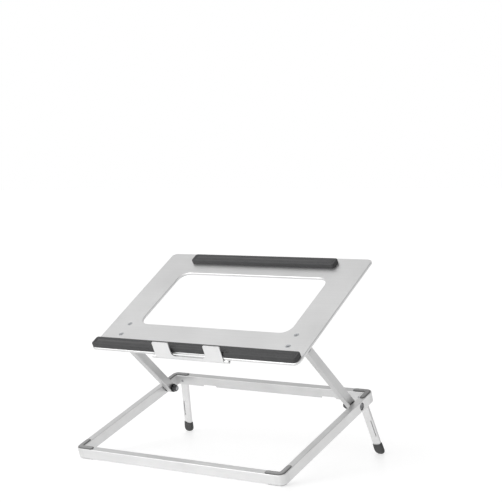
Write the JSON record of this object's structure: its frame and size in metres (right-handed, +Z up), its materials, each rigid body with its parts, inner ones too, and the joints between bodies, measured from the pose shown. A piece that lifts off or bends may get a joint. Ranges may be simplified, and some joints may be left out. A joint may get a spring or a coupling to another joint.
{
  "type": "laptop stand",
  "caption": "Folding aluminium laptop stand: open base frame on two rear legs, twin hinged arms, tilted tray with rubber strips and a flip-up front stop",
  "frame": {"origin": "on the ground, under the middle of the open stand's bounding box", "axes": "+X the stand's right, +Y its rear, +Z up; the stand faces -Y, and its left and right halves mirror across X = 0"},
  "size_m": [0.2706, 0.1986, 0.2122],
  "materials": {
    "anodised_profile": "satin silver anodised extrusion",
    "cast_corner": "satin silver anodised casting",
    "anodised_sheet": "satin silver anodised sheet",
    "clip_sheet": "satin silver anodised bent sheet",
    "bracket_metal": "brushed",
    "black_rubber": "matte moulded silicone",
    "grey_rubber": "matte moulded silicone",
    "black_nylon": "matte moulded",
    "black_nut": "black oxide",
    "steel_fastener": "turned steel",
    "spring_steel": "plain spring steel"
  },
  "bodies": {
    "base": {"front_left_corner": "cast_corner", "front_left_pad": "grey_rubber", "front_rail": "anodised_profile", "front_right_corner": "cast_corner", "front_right_pad": "grey_rubber", "left_arm_washer": "black_nylon", "left_base_bolt": "steel_fastener", "left_base_nut": "black_nut", "left_base_spring_discs": "spring_steel", "left_front_foot": "black_rubber", "left_leg_pin": "steel_fastener", "left_leg_spacers": "black_nylon", "left_rail": "anodised_profile", "left_rail_washer": "black_nylon", "rear_left_corner": "cast_corner", "rear_left_pad": "grey_rubber", "rear_rail": "anodised_profile", "rear_right_corner": "cast_corner", "rear_right_pad": "grey_rubber", "right_arm_washer": "black_nylon", "right_base_bolt": "steel_fastener", "right_base_nut": "black_nut", "right_base_spring_discs": "spring_steel", "right_front_foot": "black_rubber", "right_leg_pin": "steel_fastener", "right_leg_spacers": "black_nylon", "right_rail": "anodised_profile", "right_rail_washer": "black_nylon"},
    "left_leg": {"left_leg": "anodised_profile", "left_leg_tip": "black_rubber"},
    "right_leg": {"right_leg": "anodised_profile", "right_leg_tip": "black_rubber"},
    "arms": {"left_arm": "anodised_profile", "right_arm": "anodised_profile"},
    "tray": {"clip_pin": "steel_fastener", "front_strip": "black_rubber", "left_clip_knuckle": "bracket_metal", "left_hinge_bracket": "bracket_metal", "left_tray_bolt": "steel_fastener", "left_tray_nut": "black_nut", "left_tray_spring_discs": "spring_steel", "left_tray_washer": "black_nylon", "rear_strip": "black_rubber", "right_clip_knuckle": "bracket_metal", "right_hinge_bracket": "bracket_metal", "right_tray_bolt": "steel_fastener", "right_tray_nut": "black_nut", "right_tray_spring_discs": "spring_steel", "right_tray_washer": "black_nylon", "tray_panel": "anodised_sheet", "tray_screws": "steel_fastener"},
    "clip": {"front_clip": "clip_sheet", "left_clip_pad": "black_rubber", "right_clip_pad": "black_rubber"}
  },
  "joints": [
    {"name": "arm_fold", "type": "hinge", "parent": "base", "child": "arms", "pos_m": [0, 0.05121, 0.05793], "axis": [1, 0, 0], "range_deg": [-40, 57.45]},
    {"name": "tray_tilt", "type": "hinge", "parent": "arms", "child": "tray", "pos_m": [0, -0.0376, 0.12781], "axis": [1, 0, 0], "range_deg": [-70.9, 50]},
    {"name": "left_leg_fold", "type": "hinge", "parent": "base", "child": "left_leg", "pos_m": [-0.119, 0.07397, 0.06495], "axis": [0, -0.9438, -0.3306], "range_deg": [0, 99.1]},
    {"name": "right_leg_fold", "type": "hinge", "parent": "base", "child": "right_leg", "pos_m": [0.119, 0.07397, 0.06495], "axis": [0, 0.9438, 0.3306], "range_deg": [0, 99.1]},
    {"name": "clip_fold", "type": "hinge", "parent": "tray", "child": "clip", "pos_m": [0, -0.06823, 0.11297], "axis": [1, 0, 0], "range_deg": [0, 276.3]}
  ],
  "couplings": [
    {"joint": "tray_tilt", "follows": "arm_fold", "ratio": -1.2312}
  ]
}
